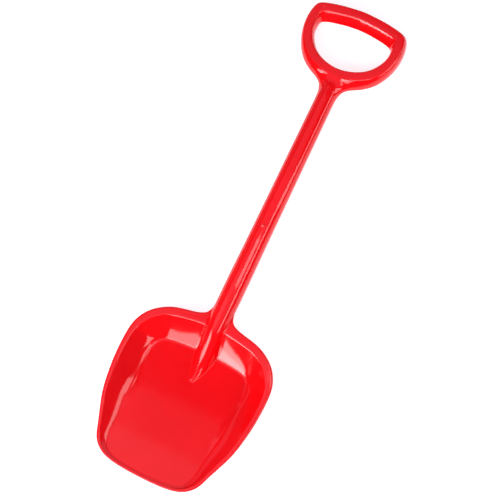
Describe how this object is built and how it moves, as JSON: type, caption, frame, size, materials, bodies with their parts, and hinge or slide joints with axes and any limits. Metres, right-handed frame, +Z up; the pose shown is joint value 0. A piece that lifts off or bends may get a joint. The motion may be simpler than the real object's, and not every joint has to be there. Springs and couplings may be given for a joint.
{
  "type": "sand shovel",
  "caption": "Toy sand shovel with a wide lipped pan, a spine that runs into a round shaft, and a D-shaped hand grip.",
  "frame": {"origin": "on the surface the shovel lies on, below the middle of its bounding box", "axes": "+Y along the shaft from the blade to the grip, +Z up out of the hollow of the blade, X across the blade"},
  "size_m": [0.154, 0.4986, 0.0411],
  "materials": {
    "red_plastic": "smooth moulded gloss, bright red",
    "pin_plastic": "moulded gloss, red"
  },
  "bodies": {
    "root": {"blade": "red_plastic", "shaft": "red_plastic", "grip_front": "red_plastic", "grip_back": "red_plastic", "lock_pins": "pin_plastic"}
  },
  "joints": []
}
